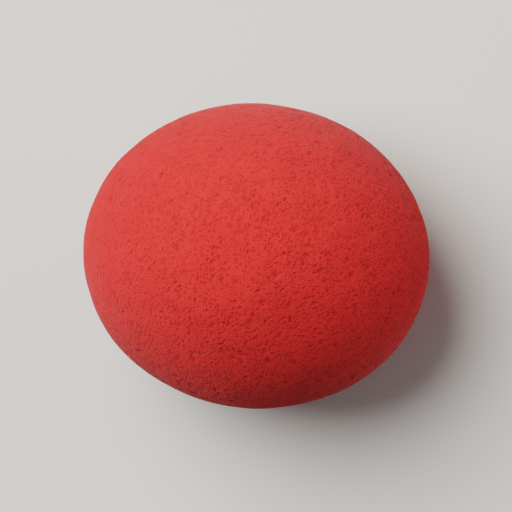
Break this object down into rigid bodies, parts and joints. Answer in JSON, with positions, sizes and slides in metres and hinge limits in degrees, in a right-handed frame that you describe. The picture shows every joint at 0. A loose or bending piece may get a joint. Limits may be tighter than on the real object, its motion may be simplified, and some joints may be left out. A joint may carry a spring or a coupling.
{
  "type": "clown nose",
  "caption": "Oval ball of fine red foam with a flat back and an almond-shaped slit that opens into a blind socket, worn over the tip of the nose.",
  "frame": {"origin": "middle of the flat back, in the plane that the nose rests on", "axes": "+Z points out of the front of the nose, the way it faces when worn; +Y is up when worn, along the slit; +X runs from side to side"},
  "size_m": [0.044, 0.0384, 0.035],
  "materials": {
    "red_foam": "matte open-cell polyurethane foam, dyed through"
  },
  "bodies": {
    "root": {"foam_ball": "red_foam"}
  },
  "joints": []
}
